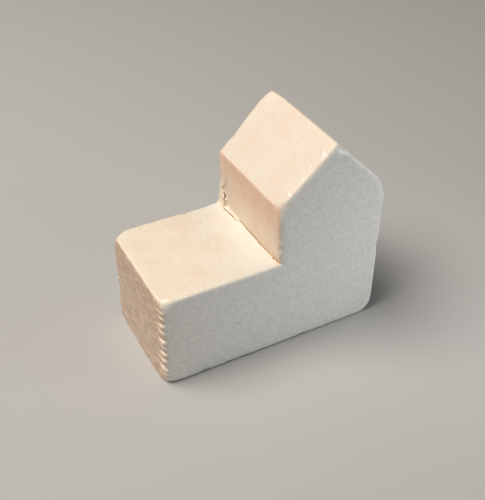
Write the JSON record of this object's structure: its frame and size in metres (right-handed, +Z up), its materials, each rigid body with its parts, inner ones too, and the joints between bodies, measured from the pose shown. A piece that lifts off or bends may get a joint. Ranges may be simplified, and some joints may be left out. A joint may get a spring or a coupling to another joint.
{
  "type": "house game piece",
  "caption": "Wooden house-shaped game piece: a gabled tower beside a low flat-topped annex, milled from solid wood, painted white and standing on its base.",
  "frame": {"origin": "middle of the base, on the plane that the piece stands on", "axes": "+X from the annex end to the tower end, +Y from the near saw-cut face to the far one, +Z up"},
  "size_m": [0.0198, 0.01, 0.0184],
  "materials": {
    "bare_wood": "bare sanded hardwood",
    "white_paint": "satin white paint over wood"
  },
  "bodies": {
    "root": {"wood_block": "bare_wood", "paint_coat": "white_paint"}
  },
  "joints": []
}
